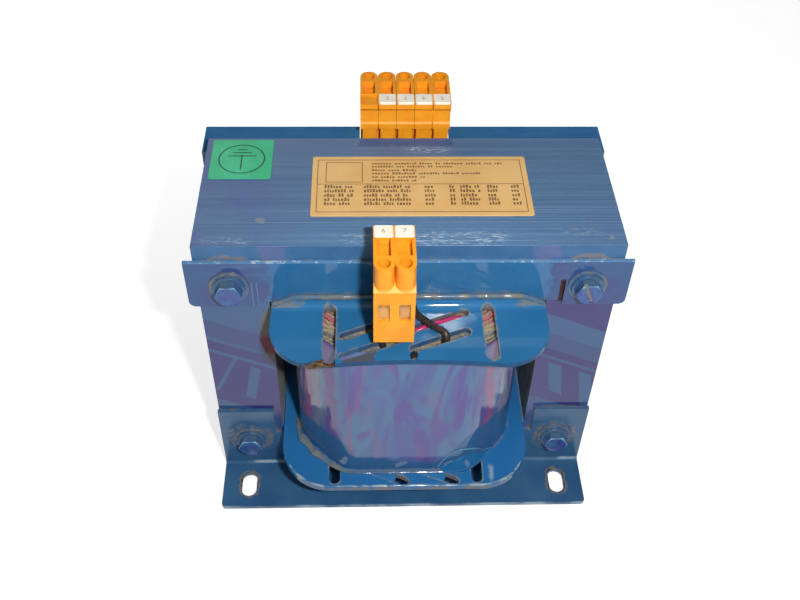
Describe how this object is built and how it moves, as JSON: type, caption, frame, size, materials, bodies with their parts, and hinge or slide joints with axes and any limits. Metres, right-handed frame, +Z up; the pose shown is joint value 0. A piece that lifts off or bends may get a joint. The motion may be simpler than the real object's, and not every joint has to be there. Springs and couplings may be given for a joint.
{
  "type": "transformer",
  "caption": "Foot-mounted mains transformer with a laminated EI core, a coil on a slotted moulded former, bolted clamps and feet, and upright screw terminal blocks front and rear.",
  "frame": {"origin": "on the mounting plane, under the centre of the core", "axes": "+X along the laminations, +Y from the two-pole front terminal block to the rear terminals, +Z up"},
  "size_m": [0.182, 0.1412, 0.1611],
  "materials": {
    "lamination_steel": "blue varnish over steel edges",
    "varnished_steel": "glossy blue varnish",
    "varnished_plastic": "glossy blue varnish",
    "varnished_wrap": "glossy blue-grey varnish",
    "copper_wire": "enamelled",
    "fibre_insulation": "pressed fibre",
    "zinc_steel": "zinc under thin varnish",
    "orange_plastic": "satin moulded",
    "terminal_metal": "tinned",
    "tag_plastic": "satin",
    "lead_sleeve": "woven sleeving",
    "tan_label": "printed film",
    "green_label": "printed film"
  },
  "bodies": {
    "root": {"e_laminations": "lamination_steel", "i_laminations": "lamination_steel", "coil_former": "varnished_plastic", "primary_winding": "copper_wire", "interwinding_insulation": "fibre_insulation", "secondary_winding": "copper_wire", "outer_wrap": "varnished_wrap", "front_upper_clamp": "varnished_steel", "rear_upper_clamp": "varnished_steel", "front_foot_bracket": "varnished_steel", "rear_foot_bracket": "varnished_steel", "core_bolts": "zinc_steel", "bolt_sleeves": "fibre_insulation", "fibre_washers": "fibre_insulation", "plain_washers": "zinc_steel", "spring_washers": "zinc_steel", "core_nuts": "zinc_steel", "front_terminal_block": "orange_plastic", "rear_left_terminal_block": "orange_plastic", "rear_middle_terminal_block": "orange_plastic", "rear_right_terminal_block": "orange_plastic", "front_terminal_cages": "terminal_metal", "rear_terminal_cages": "terminal_metal", "front_terminal_screws": "terminal_metal", "rear_terminal_screws": "terminal_metal", "front_marker_tags": "tag_plastic", "rear_marker_tags": "tag_plastic", "front_leads": "lead_sleeve", "rear_leads": "lead_sleeve", "rating_plate": "tan_label", "earth_label": "green_label"}
  },
  "joints": []
}
